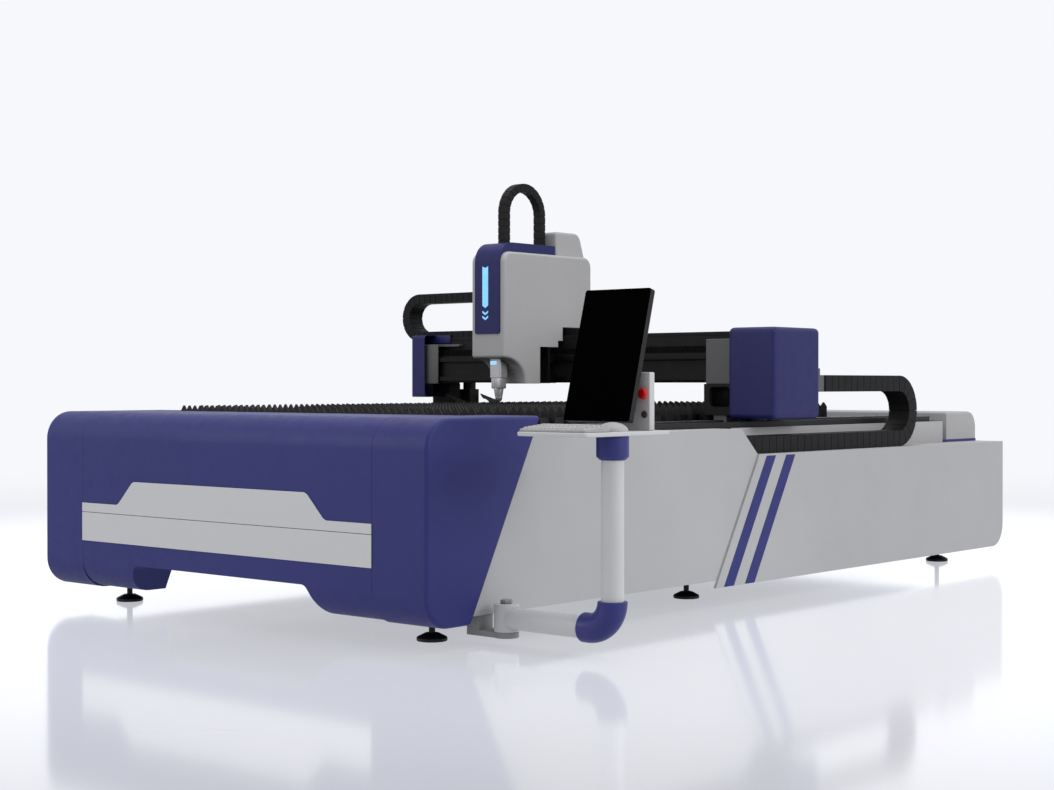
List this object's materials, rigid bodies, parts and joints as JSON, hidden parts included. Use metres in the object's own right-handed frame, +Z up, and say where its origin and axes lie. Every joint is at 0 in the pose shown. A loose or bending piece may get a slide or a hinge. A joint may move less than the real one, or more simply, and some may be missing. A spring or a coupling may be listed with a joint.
{
  "type": "fiber laser cutting machine",
  "caption": "Open-bed fiber laser cutting machine: slatted table in a covered bed, rack-driven gantry with a lifting cutting head, drag chains and a swinging operator console.",
  "frame": {"origin": "middle of the whole machine's box, on the floor", "axes": "+X to the operator's side, +Y from the front cover to the rear, +Z up"},
  "size_m": [3.094, 4.494, 1.946],
  "materials": {
    "blue_paint": "satin powder coat",
    "grey_paint": "satin powder coat",
    "silver_band": "silver satin",
    "pipe_coat": "light grey coat",
    "frame_paint": "matt black",
    "table_steel": "dark rolled steel",
    "foot_iron": "black",
    "rail_steel": "ground and oiled",
    "plate_paint": "grey",
    "motor_black": "black",
    "chain_plastic": "moulded",
    "head_metal": "bead blasted",
    "nozzle_copper": "turned copper",
    "light_lens": "lit lens",
    "monitor_plastic": "moulded",
    "screen": "glossy glass front",
    "stop_red": "moulded",
    "button_dark": "moulded"
  },
  "bodies": {
    "bed": {"bed_beams": "frame_paint", "bed_crossmembers": "frame_paint", "levelling_feet": "foot_iron", "slag_tray": "frame_paint", "table_combs": "table_steel", "slats": "table_steel", "sheet_stops": "table_steel", "front_panel": "blue_paint", "front_caps": "blue_paint", "front_band": "silver_band", "side_panels_front": "grey_paint", "side_panels_rear": "grey_paint", "side_stripes": "blue_paint", "rear_panel": "blue_paint", "rear_hood": "grey_paint", "y_rails": "rail_steel", "y_racks": "rail_steel", "arm_bracket": "grey_paint", "y_chain_lower_run": "chain_plastic"},
    "y_bend_lower": {"y_chain_bend_lower": "chain_plastic"},
    "gantry": {"gantry_saddles": "frame_paint", "y_guide_blocks": "rail_steel", "gantry_beam": "frame_paint", "beam_end_plates": "plate_paint", "gantry_cover_left": "blue_paint", "gantry_cover_right": "blue_paint", "y_motors": "motor_black", "x_rails": "rail_steel", "x_rack": "rail_steel", "y_chain_bracket": "plate_paint", "y_chain_upper_run": "chain_plastic", "x_chain_lower_run": "chain_plastic"},
    "y_bend_upper": {"y_chain_bend_upper": "chain_plastic"},
    "pinion_left": {"y_pinion_left": "rail_steel"},
    "pinion_right": {"y_pinion_right": "rail_steel"},
    "x_bend_lower": {"x_chain_bend_lower": "chain_plastic"},
    "x_bend_upper": {"x_chain_bend_upper": "chain_plastic"},
    "carriage": {"carriage_plate": "plate_paint", "x_guide_blocks": "rail_steel", "x_motor": "motor_black", "head_cover": "grey_paint", "head_trim": "blue_paint", "head_light": "light_lens", "motor_cover": "grey_paint", "x_chain_upper_run": "chain_plastic", "z_chain": "chain_plastic"},
    "pinion_x": {"x_pinion": "rail_steel"},
    "head": {"z_slide": "plate_paint", "cutting_head": "head_metal", "nozzle": "nozzle_copper"},
    "console_arm": {"console_pipes": "pipe_coat", "arm_elbow": "blue_paint", "post_collar": "blue_paint"},
    "console_top": {"swivel_cap": "grey_paint", "keyboard_tray": "grey_paint", "button_box": "grey_paint"},
    "monitor": {"monitor_shell": "monitor_plastic", "monitor_screen": "screen"},
    "estop": {"estop_button": "stop_red"},
    "start": {"start_button": "button_dark"}
  },
  "joints": [
    {"name": "gantry_slide", "type": "slide", "parent": "bed", "child": "gantry", "axis": [0, 1, 0], "range_m": [-1.62, 1.32]},
    {"name": "y_bend_lower_slide", "type": "slide", "parent": "bed", "child": "y_bend_lower", "axis": [0, 1, 0], "range_m": [-0.8105, 0.6605], "deforming": ["y_chain_lower_run"]},
    {"name": "y_bend_upper_slide", "type": "slide", "parent": "gantry", "child": "y_bend_upper", "axis": [0, 1, 0], "range_m": [-0.6605, 0.8105], "deforming": ["y_chain_upper_run"]},
    {"name": "pinion_left_spin", "type": "hinge", "parent": "gantry", "child": "pinion_left", "pos_m": [-1.231, 0.302, 0.772], "axis": [0, 0, 1], "range_deg": [-2901.6, 2364.5]},
    {"name": "pinion_right_spin", "type": "hinge", "parent": "gantry", "child": "pinion_right", "pos_m": [0.683, 0.302, 0.772], "axis": [0, 0, 1], "range_deg": [-2364.5, 2901.6]},
    {"name": "carriage_slide", "type": "slide", "parent": "gantry", "child": "carriage", "axis": [1, 0, 0], "range_m": [-0.58, 0.885]},
    {"name": "x_bend_lower_slide", "type": "slide", "parent": "gantry", "child": "x_bend_lower", "axis": [1, 0, 0], "range_m": [-0.2905, 0.443], "deforming": ["x_chain_lower_run"]},
    {"name": "x_bend_upper_slide", "type": "slide", "parent": "carriage", "child": "x_bend_upper", "axis": [1, 0, 0], "range_m": [-0.443, 0.2905], "deforming": ["x_chain_upper_run"]},
    {"name": "pinion_x_spin", "type": "hinge", "parent": "carriage", "child": "pinion_x", "pos_m": [-0.512, 0.043, 1.117], "axis": [0, 0, 1], "range_deg": [-1385.6, 2113.8]},
    {"name": "head_lift", "type": "slide", "parent": "carriage", "child": "head", "axis": [0, 0, 1], "range_m": [0, 0.1], "deforming": ["z_chain"]},
    {"name": "arm_swing", "type": "hinge", "parent": "bed", "child": "console_arm", "pos_m": [0.992, -1.904, 0.104], "axis": [0, 0, 1], "range_deg": [-30, 75]},
    {"name": "console_swivel", "type": "hinge", "parent": "console_arm", "child": "console_top", "pos_m": [1.482, -1.904, 0.775], "axis": [0, 0, 1], "range_deg": [-40, 40]},
    {"name": "monitor_tilt", "type": "hinge", "parent": "console_top", "child": "monitor", "pos_m": [1.407, -1.722, 0.985], "axis": [1, 0, 0], "range_deg": [-10, 10]},
    {"name": "estop_press", "type": "slide", "parent": "console_top", "child": "estop", "axis": [0, 1, 0], "range_m": [0, 0.004], "stiffness_N_per_m": 1500},
    {"name": "start_press", "type": "slide", "parent": "console_top", "child": "start", "axis": [0, 1, 0], "range_m": [0, 0.003], "stiffness_N_per_m": 1000}
  ],
  "couplings": [
    {"joint": "y_bend_lower_slide", "follows": "gantry_slide", "ratio": 0.5},
    {"joint": "y_bend_upper_slide", "follows": "gantry_slide", "ratio": -0.5},
    {"joint": "pinion_left_spin", "follows": "gantry_slide", "rad_per_m": 31.25},
    {"joint": "pinion_right_spin", "follows": "gantry_slide", "rad_per_m": -31.25},
    {"joint": "x_bend_lower_slide", "follows": "carriage_slide", "ratio": 0.5},
    {"joint": "x_bend_upper_slide", "follows": "carriage_slide", "ratio": -0.5},
    {"joint": "pinion_x_spin", "follows": "carriage_slide", "rad_per_m": 41.667}
  ]
}
